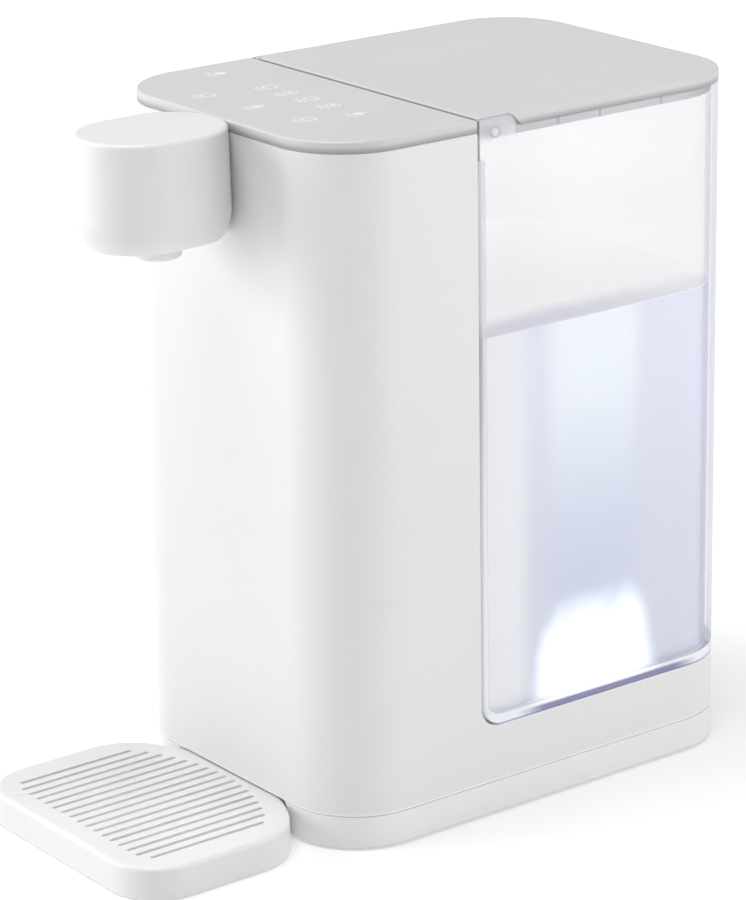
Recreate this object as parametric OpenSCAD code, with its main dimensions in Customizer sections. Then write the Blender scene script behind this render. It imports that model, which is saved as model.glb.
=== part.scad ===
// Instant hot water dispenser: a rounded column with a spout and a touch panel,
// a clear lift-off tank with a hinged lid behind it, and a slotted drip tray in front.

/* [Body] */
// Width of the body
body_w = 160; // [140:1:190]
// Depth of the body, front of the column to back of the tank
body_d = 227; // [205:1:260]
// Height from the table to the top of the touch panel
body_h = 310; // [280:1:350]
// Radius of the two front corners
front_r = 34; // [24:1:40]
// Radius of the two rear corners
rear_r = 33; // [24:1:40]
// Thickness of the moulded housing walls
wall = 2.5; // [2:0.1:3]
// Depth of the shadow groove between the base pan and the housing
reveal = 0.5; // [0.3:0.1:0.8]
// Height of the deck that the tank stands on
deck_z = 41.5; // [40:0.5:50]
// Depth of the front column
column_d = 76; // [70:1:90]
// Thickness of the touch panel and of the tank lid
cap_t = 5; // [4:0.5:7]
// Rounding of the top edge of the touch panel and of the tank lid
cap_edge_r = 1; // [0.4:0.1:1.6]

/* [Feet and screws] */
// How far the feet stand out below the base
foot_h = 1.2; // [0.8:0.1:3]
// Radius of a foot
foot_r = 8; // [6:0.5:10]
// Depth of the seat that a foot is glued into
foot_seat = 1; // [0.6:0.1:1.4]
// Distance of the feet from the side of the body
foot_inset = 28; // [26:1:36]
// Distance of the screws from the side of the body
screw_inset = 12; // [11:0.5:14]
// Distance of the screws from the front and from the back of the body
screw_end = 42; // [36:1:46]
// Radius of a screw shank
screw_r = 1.5; // [1.2:0.1:1.8]
// Radius of a screw boss
boss_r = 4.5; // [4:0.1:5]

/* [Tank] */
// Thickness of the tank walls
tank_wall = 3; // [2.5:0.1:3.5]
// Gap between the column and the front wall of the tank
tank_gap = 1.6; // [1.4:0.1:2.4]
// Radius of the tank's lower corners, seen from the side
tank_low_r = 10; // [5:0.5:12]
// Radius of the tank's front upright edges
tank_edge_r = 2.5; // [1:0.5:2.5]
// Drop of the tank's front wall below the lid top, room for the lid nose
lip_drop = 17; // [16:0.5:24]
// Length of the ears that carry the lid
ear_l = 22; // [20:0.5:28]
// How far the ears stand in front of the tank wall
ear_step = 0.9; // [0:0.1:0.9]
// Length of the slope at the rear end of an ear
ear_slope = 4.7; // [3:0.1:5]

/* [Lid] */
// Gap between the touch panel and the lid's front edge
lid_gap = 2.5; // [2.4:0.1:3.5]
// Radius of the hinge pins
pin_r = 2.2; // [1.8:0.1:2.4]
// Distance of the hinge pins behind the front of the ears
pin_back = 9; // [8.8:0.1:10]
// Drop of the hinge pins below the lid top
pin_drop = 6.1; // [6:0.1:6.6]
// Height of the skirt under the lid
skirt_h = 4.3; // [3.5:0.1:7]
// Thickness of the skirt
skirt_t = 1.6; // [1.2:0.1:2.4]
// Rounding of the lid's front top edge
nose_r = 2; // [2:0.1:2.6]
// Distance from the front of the skirt to its first rib
rib_step = 22.8; // [18:0.2:26]

/* [Spout] */
// Width of the spout head at its top, round in front and behind
head_w = 50.5; // [46:0.5:58]
// Reach of the spout head in front of the body
head_reach = 64; // [60:0.5:74]
// Height of the spout head
head_h = 47; // [42:1:56]
// How much wider each side is at the widest height
head_flare = 0.7; // [0:0.1:2]
// Rounding of the spout head's top edge
head_edge_r = 1.8; // [0.5:0.1:2.4]
// Height of the rounded band at the bottom
head_band = 12; // [8:0.5:14]
// Radius that draws the bottom band in
head_round_r = 20; // [18:0.5:30]
// Depth of the flat behind, where the round head meets the body
head_flat = 2.4; // [1:0.1:4]
// Outer radius of the nozzle ring
nozzle_r = 10.3; // [9:0.1:12]
// How far the nozzle ring stands below the head
nozzle_drop = 7.5; // [5:0.5:9]
// Distance of the nozzle in front of the body
nozzle_y = 29.5; // [27:0.5:34]

/* [Drip tray] */
// Width of the drip tray
tray_w = 131; // [120:1:140]
// How far the tray stands in front of the body
tray_reach = 91; // [80:1:105]
// How far the tray's rounded rear nests into the base
tray_nest = 8; // [5:0.5:10]
// Height of the tray
tray_h = 15; // [12:0.5:20]
// Radius of the tray's front corners
tray_front_r = 24; // [18:1:30]
// Radius of the tray's rear corners
tray_rear_r = 30; // [24:1:34]
// Radius of the bow of the tray's rear edge
tray_bow_r = 100; // [94:1:140]
// Rounding of the tray's top edge
tray_edge_r = 2.2; // [0.5:0.1:2.4]
// Thickness of the cover's top
cover_t = 2.5; // [2:0.1:3]
// Thickness of the cover's skirt and of the pan's walls
cover_wall = 2; // [1.6:0.1:2.6]
// Number of drain slots
slot_n = 17; // [9:2:19]
// Distance from one slot to the next
slot_pitch = 6.3; // [5.5:0.1:6.8]
// Width of a slot
slot_w = 2; // [1.5:0.1:3]
// Solid margin round the slots
slot_margin = 10.5; // [8:0.5:12]

/* [Works] */
// Free room between the heater and the walls beside and before it
heater_gap = 3.5; // [2:0.5:5]
// Radius of the heater
heater_r = 20; // [16:0.5:21]
// Length of the heater between its end caps' outer faces
heater_l = 120; // [100:5:140]
// Drop of the heater's upper end below the spout neck
heater_drop = 46; // [38:1:60]
// Outer radius of hoses, pipes and their ports
hose_r = 4.5; // [3.8:0.1:5]
// Bore radius of hoses and pipes
hose_bore = 3; // [2:0.1:3.4]
// Bend radius of hoses and pipes
hose_bend = 10; // [8:0.5:12]
// Radius of the pump head
pump_r = 13.5; // [11:0.5:14]
// Length of the pump motor
pump_l = 40; // [30:1:50]
// Length of the pump head
pump_head_l = 16; // [12:1:20]
// Flat floor left between the tank's lower front corner and the valve flange
valve_gap = 1; // [0.6:0.2:6]
// Distance of the lamp behind the tank's front wall
lamp_back = 64; // [50:1:80]
// Opening stroke of the tank valve
valve_stroke = 3.8; // [3:0.1:4]

/* [Clearances] */
// Gap between pieces that are fixed to each other
fit = 0.2; // [0.1:0.05:0.3]
// Gap between pieces that move past each other
run = 0.4; // [0.3:0.05:0.5]
// Radial play of the hinge pins
pin_play = 0.06; // [0.03:0.01:0.08]
// Gap round the tray's nested rear
bay_gap = 0.6; // [0.4:0.1:1]
// Room above the tray under the edge of the housing
bay_room = 1; // [0.6:0.1:3]

/* [Hidden] */
$fn = 64;

white = [0.93, 0.93, 0.93];
grey = [0.80, 0.80, 0.79];
clear = [0.85, 0.87, 0.95, 0.4];
rubber = [0.16, 0.16, 0.17];
steel = [0.72, 0.73, 0.75];
board_green = [0.10, 0.36, 0.22];
hose_white = [0.88, 0.88, 0.86];
motor_grey = [0.45, 0.46, 0.48];
seal_grey = [0.55, 0.57, 0.60];

// The body's front face lies at y = 0 in the modules; place() centres the whole depth
front_y = (tray_reach - body_d) / 2;
over = 1;

// Levels
cap_z = body_h - cap_t;
base_line = tray_h + bay_room;
pan_top = foot_h + wall;
deck_t = wall;
deck_under = deck_z - deck_t;
ledge_t = 2;
ledge_z = deck_under - ledge_t;
works_z = (pan_top + deck_under) / 2;

// Tank and lid places
tank_z = deck_z + fit;
tank_floor = tank_z + tank_wall;
tank_front = column_d + tank_gap;
tank_top = cap_z - fit;
lid_front = column_d + lid_gap;
lip_z = body_h - lip_drop;
ear_front = tank_front - ear_step;
ear_rear = ear_front + ear_l;
pin_y = ear_front + pin_back;
pin_z = body_h - pin_drop;
lug_wall = 1.8;
lug_r = pin_r + lug_wall;
lug_w = 4.5;
lug_x = body_w / 2 - tank_wall - run;
skirt_front = ear_rear + run;
rib_t = 1;
pin_short = 0.3;

// Dock and valve places
nose_r_valve = 9;
nose_l = 6;
nose_z = tank_z - nose_l;
cup_r = 14.5;
cup_play = 1;
cup_base = 1.5;
cup_rim = 1.5;
cup_bore = nose_r_valve + cup_play;
cup_floor = works_z - hose_r;
cup_z = cup_floor - cup_base;
dock_flange = 4;
dock_flange_t = 2.5;
seal_t = 3;
seal_z = deck_z - cup_rim - seal_t;
seal_lip = 0.3;
seal_bore = nose_r_valve + run;
seal_r = cup_r - wall;
sleeve_r = 11;
flange_t = 2.3;
flange_out = 4;
valve_y = tank_front + tank_low_r + valve_gap + sleeve_r + flange_out;
throat_r = 4.5;
throat_step = 2;
throat_deep = 1;
seat_t = 1.5;
seat_z = tank_floor + seat_t;
cage_r = 10.5;
cage_bore = 8.5;
cage_room = 12;
cage_top = seat_z + valve_stroke + fit + cage_room;
cage_cap = 2;
window_w = 7;
window_edge = 2;
stem_r = 2;
pin_foot_r = 7;
pin_foot_t = 1.2;
disc_r = 6.5;
disc_t = 1.6;
washer_t = 1.2;
washer_z = seat_z + valve_stroke + fit;
disc_z = washer_z + washer_t;
stem_in = 1.5;
stem_z = nose_z + stem_in;
tip_out = 1;
spring_wire = 0.45;
spring_r = 4.2;
spring_turns = 4;
spring_z = disc_z + disc_t + spring_wire + fit / 2;
spring_top = cage_top - cage_cap - spring_wire - fit / 2;

// Spout places
head_step = 0.5;
head_top = body_h - head_step;
head_low = head_top - head_h;
head_wide = head_low + head_band;
head_back = fit;
head_wall = 2.5;
head_back_wall = 4;
head_r = head_w / 2;
head_front_y = head_r - head_reach;
head_rear_y = head_flat - head_back - head_r;
head_mouth_r = head_r + head_flare - head_round_r
    + sqrt(pow(head_round_r - head_wall, 2) - pow(head_band, 2));
floor_t = 2.5;
neck_z = head_top - head_h / 2;
neck_play = 0.7;
neck_wall = 2.3;
neck_rim = 1.8;
neck_bore = hose_r + neck_play;
neck_r = neck_bore + neck_wall;
neck_flange_r = neck_r + neck_rim;
neck_flange_t = 2.5;
nut_r = 13;
nut_t = 5;
neck_end = 2;
socket_r = 7;
socket_out = 3;
socket_top = head_low + floor_t + socket_out;
mouth_r = 7.8;
mouth_deep = 4;
nozzle_edge = 1;

// Works places
dock_port = 6;
hose_y = valve_y - cup_r - dock_port;
motor_r = pump_r - 1;
pump_port = 4;
port_deep = 5;
pump_front = hose_y + pump_port;
pump_end_l = 3;
pump_end_r = 5;
saddle_l = 8;
saddle_in = 6;
saddle_drop = 4;
hose_lead = 10;
run_y = hose_y - hose_lead - hose_bend;
heater_cap = 8;
heater_rim = 1;
heater_port = 10;
heater_bore_l = heater_port + over;
pad_w = 16;
pad_h = 18;
pad_step = 12;
tab_w = 4;
tab_t = 0.8;
thermostat_r = 7;
thermostat_t = 5;
tab_l = 4;
pad_out = 3;
heater_x = body_w / 2 - wall - heater_gap - heater_r - heater_rim;
heater_y = wall + heater_gap + tab_l + thermostat_t + pad_out + heater_r;
heater_z = neck_z - heater_drop - heater_l;
heater_low = heater_z - heater_port;
heater_high = heater_z + heater_l + heater_port;
bracket_h = 12;
bracket_end = 14;
bracket_w = 18;
bracket_t = 1.5;
port_step = 16;
pump_x = heater_x - port_step / 2;
port_x = [heater_x, heater_x - port_step];
board_t = 1.6;
board_stand = 4;
stand_r = 3;
stand_edge = 6;
touch_inset = 24;
touch_end = 13;
touch_x = body_w / 2 - touch_inset;
rim_h = 3;
rim_t = 1.6;
plug_w = 24;
plug_d = 6;
plug_h = 5;
chip_w = 12;
chip_t = 2;
screw_y = [screw_end, body_d - screw_end];
screw_x = body_w / 2 - screw_inset;
screw_l = 15;
screw_top = pan_top + screw_l;
screw_head_r = 2 * screw_r;
screw_head_t = 1;
screw_head_z = foot_h + wall / 2;
drive_w = 0.6;
drive_t = 0.5;
pilot_l = 1;
boss_rib = 2;
ledge_w = 3;
foot_x = body_w / 2 - foot_inset;
foot_edge = 0.8;
foot_shift = 6;
power_w = 68;
power_d = 54;
power_gap = 2.5;
power_back = 22;
coil_size = [22, 26, 15];
relay_size = [15, 12, 12];
relay_step = 18;
can_r = 4;
can_h = 14;
can_step = 11;
power_right = screw_x - boss_r - power_gap - stand_edge;
power_x = [power_right - power_w, power_right];
power_y = [body_d - power_back - power_d, body_d - power_back];
gland_r = 5.5;
gland_in = 4;
gland_flange = 2.5;
gland_wall = 2;
gland_side = 12;
gland_x = body_w / 2 - rear_r - gland_side;
gland_z = (base_line + deck_under) / 2;
lamp_r = 8;
lamp_flange = 2.5;
lamp_flange_t = 2;
lamp_y = tank_front + lamp_back;

// Tray places
tray_z = 0.3;
tray_half = tray_w / 2;
tray_rear_x = tray_half - tray_rear_r;
tray_bow_y = tray_nest - tray_bow_r;
tray_rear_y = tray_bow_y + sqrt(pow(tray_bow_r - tray_rear_r, 2) - pow(tray_rear_x, 2));
tray_front_x = tray_half - tray_front_r;
tray_front_y = tray_front_r - tray_reach;
bow_angle = asin(tray_rear_x / (tray_bow_r - tray_rear_r));
bow_lap = 0.5;
bow_ease = 0.2;
pan_inset = cover_wall + fit;
pan_floor = 2;

// Moves everything so that the middle of the whole depth is the origin
module place() {
    translate([0, front_y, 0]) children();
}

// Extrudes a plan from one level to another
module rise(z0, z1) {
    translate([0, 0, z0]) linear_extrude(z1 - z0) children();
}

// Draws a right-hand shape and its left-hand twin
module sides() {
    children();
    mirror([1, 0, 0]) children();
}

// Turns an upright shape so that it points along +Y or along +X
module along_y(at) {
    translate(at) rotate([-90, 0, 0]) children();
}

module along_x(at) {
    translate(at) rotate([0, 90, 0]) children();
}

// Extrudes a side view, drawn as y and z, across the width
module across(x0, x1) {
    translate([x0, 0, 0]) rotate([90, 0, 90]) linear_extrude(x1 - x0) children();
}

// Rounded rectangle with one radius in front and another behind
module round_plan(w, y0, y1, rf, rr) {
    mid = (y0 + y1) / 2;
    translate([-w / 2, y0 + rf]) square([w, y1 - rr - y0 - rf]);
    translate([rf - w / 2, y0]) square([w - 2 * rf, mid - y0]);
    translate([rr - w / 2, mid]) square([w - 2 * rr, y1 - mid]);
    for (s = [-1, 1]) {
        translate([s * (w / 2 - rf), y0 + rf]) circle(rf);
        translate([s * (w / 2 - rr), y1 - rr]) circle(rr);
    }
}

module body_plan(inset = 0) {
    round_plan(body_w - 2 * inset, inset, body_d - inset, front_r - inset, rear_r - inset);
}

// The part of the body's plan in front of, or behind, a line across it
module front_plan(inset, y) {
    intersection() {
        body_plan(inset);
        translate([-body_w, -over]) square([2 * body_w, y + over]);
    }
}

module back_plan(inset, y) {
    intersection() {
        body_plan(inset);
        translate([-body_w, y]) square([2 * body_w, body_d]);
    }
}

module tank_plan(inset = 0) {
    round_plan(
        body_w - 2 * inset, tank_front + inset, body_d - inset,
        max(tank_edge_r - inset, 0.4), rear_r - inset
    );
}

// Side view of the tank with its rounded lower corners
module tank_side(inset, top) {
    r = tank_low_r - inset;
    y0 = tank_front + inset;
    y1 = body_d - inset;
    z0 = tank_z + inset;
    translate([y0, z0 + r]) square([y1 - y0, top - z0 - r]);
    translate([y0 + r, z0]) square([y1 - y0 - 2 * r, top - z0]);
    translate([y0 + r, z0 + r]) circle(r);
    translate([y1 - r, z0 + r]) circle(r);
}

// Plan of the drip tray: straight sides, round corners and a bowed rear edge
module tray_plan(inset = 0) {
    half = tray_half - inset;
    translate([-half, tray_front_y]) square([2 * half, tray_rear_y - tray_front_y]);
    translate([-tray_front_x, inset - tray_reach])
        square([2 * tray_front_x, tray_reach - inset + tray_rear_y]);
    for (s = [-1, 1]) {
        translate([s * tray_front_x, tray_front_y]) circle(tray_front_r - inset);
        translate([s * tray_rear_x, tray_rear_y]) circle(tray_rear_r - inset);
    }
    near = (tray_front_y - tray_bow_y) * tan(bow_angle);
    far = tray_bow_r * tan(bow_angle);
    intersection() {
        translate([0, tray_bow_y]) circle(tray_bow_r - inset, $fn = 180);
        polygon([
            [-near, tray_front_y],
            [near, tray_front_y],
            [far + over * tan(bow_angle), tray_nest + over],
            [-far - over * tan(bow_angle), tray_nest + over],
        ]);
    }
}

// Where a slot at x starts in front and ends behind, inside the margin
function corner_y(x, cx, r) = abs(x) <= cx ? r : sqrt(pow(r, 2) - pow(abs(x) - cx, 2));
function slot_front(x) = tray_front_y - corner_y(x, tray_front_x, tray_front_r - slot_margin);
function bow_edge() = (tray_bow_r - slot_margin) * sin(bow_angle);
function slot_rear(x) = abs(x) < bow_edge()
    ? tray_bow_y + sqrt(pow(tray_bow_r - slot_margin, 2) - pow(x, 2))
    : tray_rear_y + corner_y(x, tray_rear_x, tray_rear_r - slot_margin);

// Straight tube and quarter bend of hose or pipe
module tube(l) {
    difference() {
        cylinder(h = l, r = hose_r);
        translate([0, 0, -over]) cylinder(h = l + 2 * over, r = hose_bore);
    }
}

module bend(at, turn, start) {
    translate(at) rotate(turn) rotate(start) rotate_extrude(angle = 90)
        translate([hose_bend, 0]) difference() {
            circle(hose_r);
            circle(hose_bore);
        }
}

// Sweeps a profile, drawn as outwards and up, round a corner or along a straight of a plan
module turn_corner(at, r, start, angle) {
    translate(at) rotate(start) rotate_extrude(angle = angle) translate([r, 0]) children();
}

module run_straight(at, turn, l) {
    translate(at) rotate(turn) rotate([90, 0, 0]) linear_extrude(l) children();
}

// Profile of the waste that rounds an upper edge
module edge_waste(r) {
    difference() {
        translate([-r, -r]) square(r + over);
        translate([-r, -r]) circle(r);
    }
}

// Waste along the body's top edge: round the touch panel, or round the lid
module front_rim(z, r) {
    x = body_w / 2;
    sides() {
        turn_corner([x - front_r, front_r, z], front_r, -90, 90) edge_waste(r);
        run_straight([x, column_d + over, z], 0, column_d + over - front_r) edge_waste(r);
    }
    run_straight([x - front_r, 0, z], -90, 2 * x - 2 * front_r) edge_waste(r);
}

module rear_rim(z, r) {
    x = body_w / 2;
    y = body_d - rear_r;
    sides() {
        turn_corner([x - rear_r, y, z], rear_r, 0, 90) edge_waste(r);
        run_straight([x, y, z], 0, y - column_d + over) edge_waste(r);
    }
    run_straight([rear_r - x, body_d, z], 90, 2 * x - 2 * rear_r) edge_waste(r);
}

// Waste along the tray's upper edge
module tray_rim(z, r) {
    sides() {
        turn_corner([tray_front_x, tray_front_y, z], tray_front_r, -90, 90) edge_waste(r);
        run_straight([tray_half, tray_rear_y, z], 0, tray_rear_y - tray_front_y) edge_waste(r);
        turn_corner([tray_rear_x, tray_rear_y, z], tray_rear_r, 0, 90 - bow_angle) edge_waste(r);
    }
    turn_corner([0, tray_bow_y, z], tray_bow_r, 90 - bow_angle - bow_lap, 2 * bow_angle + 2 * bow_lap)
        edge_waste(r - bow_ease);
    run_straight([tray_front_x, -tray_reach, z], -90, 2 * tray_front_x) edge_waste(r);
}

// Side view of an ear, grown by a clearance and drawn on above the lid top
module ear_side(grow = 0, above = 0) {
    back = ear_rear + grow;
    polygon([
        [ear_front - grow, lip_z - grow],
        [ear_front - grow, body_h + above],
        [back - ear_slope * (cap_t + above) / cap_t, body_h + above],
        [back, cap_z],
        [back, lip_z - grow],
    ]);
}

// Outer housing: column, low ring with round inner corners, deck ledge, screw bosses, roof over the tray
module main_housing() {
    color(white) place() difference() {
        union() {
            difference() {
                union() {
                    rise(base_line, deck_z) body_plan();
                    rise(base_line, cap_z) front_plan(0, column_d);
                }
                rise(base_line - over, deck_z + over) body_plan(wall);
                rise(base_line - over, cap_z + over) front_plan(wall, column_d + over);
            }
            rise(ledge_z, deck_under) difference() {
                back_plan(wall / 2, column_d);
                back_plan(wall + ledge_w, column_d - over);
            }
            sides() across(body_w / 2 - wall, body_w / 2) difference() {
                translate([column_d - over, deck_z - over]) square(tank_low_r + over);
                translate([column_d + tank_low_r, deck_z + tank_low_r]) circle(tank_low_r);
            }
            rise(base_line, base_line + wall) intersection() {
                body_plan(wall / 2);
                tray_plan(-bay_gap - wall);
            }
            for (y = screw_y) sides() {
                translate([screw_x, y, pan_top]) cylinder(h = ledge_z - pan_top, r = boss_r);
                translate([screw_x, y - boss_rib / 2, base_line])
                    cube([screw_inset - wall / 2, boss_rib, ledge_z - base_line]);
            }
        }
        for (y = screw_y) sides()
            translate([screw_x, y, pan_top - over])
                cylinder(h = over + screw_l + pilot_l, r = screw_r + fit / 2);
        along_y([0, -over, neck_z]) cylinder(h = wall + 2 * over, r = neck_r + fit);
        along_y([gland_x, body_d - wall - over, gland_z]) cylinder(h = wall + 2 * over, r = gland_r + fit);
    }
}

// Bottom pan with the bay for the tray, seats for the feet and stands for the power board
module base_pan() {
    color(white) place() difference() {
        union() {
            difference() {
                union() {
                    rise(foot_h, base_line - reveal) difference() {
                        body_plan();
                        tray_plan(-bay_gap);
                    }
                    rise(foot_h, base_line) difference() {
                        body_plan(reveal);
                        tray_plan(-bay_gap);
                    }
                }
                rise(pan_top, base_line + over) difference() {
                    body_plan(wall);
                    tray_plan(-bay_gap - wall);
                }
            }
            power_stands();
        }
        for (y = screw_y) sides() {
            translate([screw_x, y, -over]) cylinder(h = pan_top + 2 * over, r = screw_r + fit);
            translate([screw_x, y, -over]) cylinder(h = over + screw_head_z, r = screw_head_r + run);
        }
        for (y = foot_y()) sides() translate([foot_x, y, 0])
            cylinder(h = foot_h + foot_seat, r = foot_r + fit);
    }
}

function foot_y() = [screw_end + foot_shift, body_d - screw_end];

module feet() {
    color(rubber) place() for (y = foot_y()) sides() translate([foot_x, y, 0]) rotate_extrude() polygon([
        [0, 0],
        [foot_r - foot_edge, 0],
        [foot_r, foot_edge],
        [foot_r, foot_h + foot_seat],
        [0, foot_h + foot_seat],
    ]);
}

module base_screws() {
    color(steel) place() for (y = screw_y) sides() translate([screw_x, y, screw_head_z]) {
        difference() {
            translate([0, 0, -screw_head_t]) cylinder(h = screw_head_t, r = screw_head_r);
            for (a = [0, 90]) rotate(a) translate([-screw_r, -drive_w / 2, -screw_head_t - over])
                cube([2 * screw_r, drive_w, over + drive_t]);
        }
        cylinder(h = screw_top - screw_head_z, r = screw_r);
    }
}

// Bushing in the rear wall where the mains lead would enter
module cord_gland() {
    l = wall + gland_in;
    color(rubber) place() along_y([gland_x, body_d - l, gland_z]) difference() {
        union() {
            cylinder(h = l, r = gland_r);
            cylinder(h = gland_in - fit, r = gland_r + gland_flange);
        }
        translate([0, 0, -over]) cylinder(h = l + 2 * over, r = gland_r - gland_wall);
    }
}

// Deck under the tank and back wall of the column, one L-shaped moulding
module tank_cradle() {
    color(white) place() difference() {
        union() {
            rise(deck_under, deck_z) back_plan(wall + fit, column_d - wall);
            translate([wall + fit - body_w / 2, column_d - wall, deck_under])
                cube([body_w - 2 * wall - 2 * fit, wall, cap_z - fit - deck_under]);
        }
        translate([0, valve_y, deck_under - over]) cylinder(h = deck_t + 2 * over, r = cup_r + fit);
        translate([0, lamp_y, deck_under - over]) cylinder(h = deck_t + 2 * over, r = lamp_r + fit);
    }
}

// Touch panel with a locating rim and four stands for its board
module top_panel() {
    edge = wall + fit;
    color(grey) place() {
        difference() {
            rise(cap_z, body_h) front_plan(0, column_d);
            front_rim(body_h, cap_edge_r);
        }
        rise(cap_z - rim_h, cap_z) difference() {
            front_plan(edge, column_d - edge);
            front_plan(edge + rim_t, column_d - edge - rim_t);
        }
        for (y = touch_y()) sides() translate([touch_x - stand_edge, y, cap_z - board_stand])
            cylinder(h = board_stand, r = stand_r);
    }
}

function touch_y() = [touch_end + stand_edge, column_d - touch_end - stand_edge];

module touch_board() {
    y = touch_y();
    z = cap_z - board_stand - board_t;
    color(board_green) place() {
        translate([-touch_x, touch_end, z]) cube([2 * touch_x, column_d - 2 * touch_end, board_t]);
        translate([-plug_w / 2, y[0], z - plug_h]) cube([plug_w, plug_d, plug_h]);
        translate([2 * stand_edge - touch_x, y[0], z - chip_t]) cube([chip_w, chip_w, chip_t]);
    }
}

// Outline of the spout head, drawn in by a wall: x runs outwards from the middle of its round ends
module head_outline(inset, low, top) {
    r = head_r - inset;
    polygon([
        [0, head_wide],
        [r + head_flare, head_wide],
        [r, top],
        [0, top],
    ]);
    intersection() {
        translate([head_r + head_flare - head_round_r, head_wide]) circle(head_round_r - inset);
        translate([0, low]) square([r + head_flare, head_wide - low]);
    }
}

// Turns an outline round both ends of the head, runs it along the sides and flattens it behind
module head_form(back) {
    intersection() {
        union() {
            turn_corner([0, head_front_y, 0], 0, 180, 180) children();
            turn_corner([0, head_rear_y, 0], 0, 0, 180) children();
            sides() run_straight([0, head_rear_y, 0], 0, head_rear_y - head_front_y) children();
        }
        translate([-body_w, -body_d, 0]) cube([2 * body_w, body_d - back, body_h + over]);
    }
}

// Spout head: round in front and behind, drawn in round the bottom
module spout_head() {
    back = head_back + head_back_wall;
    color(white) place() difference() {
        head_form(head_back) difference() {
            head_outline(0, head_low, head_top);
            translate([head_r, head_top]) edge_waste(head_edge_r);
        }
        head_form(back) head_outline(head_wall, head_low - over, head_top - head_wall);
        along_y([0, -back - over, neck_z]) cylinder(h = back + 2 * over, r = neck_r + fit);
    }
}

// Plate that closes the head from below and holds the nozzle
module spout_floor() {
    r = head_mouth_r - fit;
    color(white) place() rise(head_low, head_low + floor_t) difference() {
        union() {
            for (y = [head_front_y, head_rear_y]) translate([0, y]) circle(r);
            translate([-r, head_front_y]) square([2 * r, head_rear_y - head_front_y]);
        }
        translate([0, -nozzle_y]) circle(socket_r + fit);
    }
}

// Flanged tube that ties the head to the column, and the nut behind the wall
module spout_neck() {
    y = -head_back - head_back_wall - 2 * fit;
    l = wall + nut_t + neck_end - y;
    color(white) place() difference() {
        union() {
            along_y([0, y - neck_flange_t, neck_z]) cylinder(h = neck_flange_t, r = neck_flange_r);
            along_y([0, y, neck_z]) cylinder(h = l, r = neck_r);
        }
        along_y([0, y - neck_flange_t - over, neck_z])
            cylinder(h = neck_flange_t + l + 2 * over, r = neck_bore);
    }
}

module spout_nut() {
    color(white) place() along_y([0, wall + fit, neck_z]) difference() {
        cylinder(h = nut_t, r = nut_r, $fn = 6);
        translate([0, 0, -over]) cylinder(h = nut_t + 2 * over, r = neck_r + fit);
    }
}

// Outlet ring: a socket through the floor plate, a wide ring and a recessed mouth
module nozzle() {
    low = head_low - nozzle_drop;
    color(white) place() translate([0, -nozzle_y, 0]) rotate_extrude() polygon([
        [hose_bore, low + mouth_deep],
        [mouth_r, low + mouth_deep],
        [mouth_r, low],
        [nozzle_r - nozzle_edge, low],
        [nozzle_r, low + nozzle_edge],
        [nozzle_r, head_low],
        [socket_r, head_low],
        [socket_r, socket_top],
        [hose_bore, socket_top],
    ]);
}

// Pipe from the heater up, across and out through the neck to the nozzle
module outlet_pipe() {
    up = neck_z - hose_bend;
    color(steel) place() {
        translate([-heater_x, heater_y, heater_high]) tube(up - heater_high);
        bend([hose_bend - heater_x, heater_y, up], [90, 0, 0], 90);
        along_x([hose_bend - heater_x, heater_y, neck_z]) tube(heater_x - 2 * hose_bend);
        bend([-hose_bend, heater_y - hose_bend, neck_z], [0, 0, 0], 0);
        along_y([0, hose_bend - nozzle_y, neck_z]) tube(heater_y - 2 * hose_bend + nozzle_y);
        bend([0, hose_bend - nozzle_y, up], [90, 0, 90], 90);
        translate([0, -nozzle_y, socket_top]) tube(up - socket_top);
    }
}

module heater() {
    color(steel) place() translate([-heater_x, heater_y, 0]) difference() {
        union() {
            translate([0, 0, heater_z]) cylinder(h = heater_l, r = heater_r);
            for (z = [heater_z, heater_z + heater_l - heater_cap])
                translate([0, 0, z]) cylinder(h = heater_cap, r = heater_r + heater_rim);
            translate([0, 0, heater_low]) cylinder(h = heater_high - heater_low, r = hose_r);
            for (z = thermostat_z()) translate([-pad_w / 2, -heater_r - pad_out, z - pad_h / 2])
                cube([pad_w, heater_r, pad_h]);
        }
        translate([0, 0, heater_low - over]) cylinder(h = over + heater_bore_l, r = hose_bore);
        translate([0, 0, heater_high - heater_bore_l]) cylinder(h = heater_bore_l + over, r = hose_bore);
    }
}

function bracket_z() = [heater_z + bracket_end, heater_z + heater_l - bracket_end - bracket_h];
function thermostat_z() = [bracket_z()[0] + bracket_h + pad_step, bracket_z()[1] - pad_step];

// Two clamps that hold the heater to the back wall of the column
module heater_brackets() {
    color(steel) place() for (z = bracket_z()) translate([-heater_x, heater_y, z]) {
        difference() {
            union() {
                cylinder(h = bracket_h, r = heater_r + fit + bracket_t);
                translate([-bracket_w / 2, 0, 0]) cube([bracket_w, column_d - wall - heater_y, bracket_h]);
            }
            translate([0, 0, -over]) cylinder(h = bracket_h + 2 * over, r = heater_r + fit);
        }
    }
}

module thermostats() {
    y = heater_y - heater_r - pad_out;
    color(motor_grey) place() for (z = thermostat_z()) {
        along_y([-heater_x, y - thermostat_t, z]) cylinder(h = thermostat_t, r = thermostat_r);
        for (s = [-1, 1])
            translate([s * tab_w - heater_x - tab_w / 2, y - thermostat_t - tab_l, z - tab_t / 2])
                cube([tab_w, tab_l, tab_t]);
    }
}

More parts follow.
